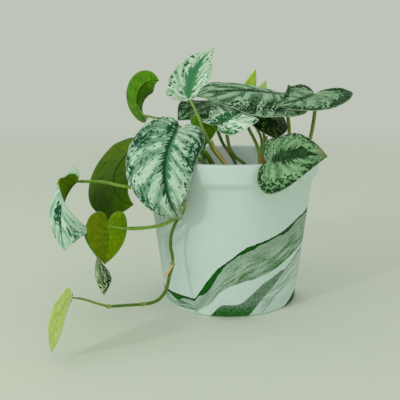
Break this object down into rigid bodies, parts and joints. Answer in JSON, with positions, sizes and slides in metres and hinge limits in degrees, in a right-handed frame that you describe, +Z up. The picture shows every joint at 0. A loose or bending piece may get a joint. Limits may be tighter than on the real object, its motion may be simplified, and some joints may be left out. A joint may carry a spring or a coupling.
{
  "type": "potted satin pothos",
  "caption": "Trailing houseplant with silver-splashed heart-shaped leaves on arching petioles and a hanging vine, in a tapered collared pot.",
  "frame": {"origin": "centre of the pot's flat base", "axes": "+Z up out of the pot; -Y towards the front, where the printed wash shows; +X to the right seen from the front"},
  "size_m": [0.2086, 0.1917, 0.1842],
  "materials": {
    "blade_silver": "satin",
    "blade_green": "satin",
    "blade_pale": "satin",
    "petiole": "satin",
    "spear": "satin",
    "vine": "satin",
    "root": "matte",
    "sheath_straw": "matte",
    "sheath_brown": "matte",
    "pot_glaze": "satin",
    "soil": "matte"
  },
  "bodies": {
    "root": {"leaf_front_left": "blade_silver", "leaf_top": "blade_silver", "leaf_across": "blade_silver", "leaf_right": "blade_silver", "leaf_front_right": "blade_silver", "leaf_shaded": "blade_silver", "leaf_centre": "blade_silver", "leaf_behind_left": "blade_silver", "leaf_inner_green": "blade_green", "leaf_upper_left": "blade_green", "leaf_left_dark": "blade_green", "leaf_left_rolled": "blade_silver", "leaf_left_low": "blade_green", "leaf_left_twisted": "blade_silver", "leaf_vine_end": "blade_pale", "petiole_top": "petiole", "petiole_across": "petiole", "petiole_right": "petiole", "petiole_front_right": "petiole", "petiole_shaded": "petiole", "petiole_centre": "petiole", "petiole_behind_left": "petiole", "petiole_inner_green": "petiole", "petiole_upper_left": "petiole", "petiole_left_dark": "petiole", "spear_tall": "spear", "spear_short": "spear", "vine": "vine", "aerial_root": "root", "sheath_top": "sheath_straw", "sheath_shaded": "sheath_brown", "sheath_behind_left": "sheath_brown", "sheath_spear": "sheath_straw", "pot": "pot_glaze", "soil": "soil"}
  },
  "joints": []
}
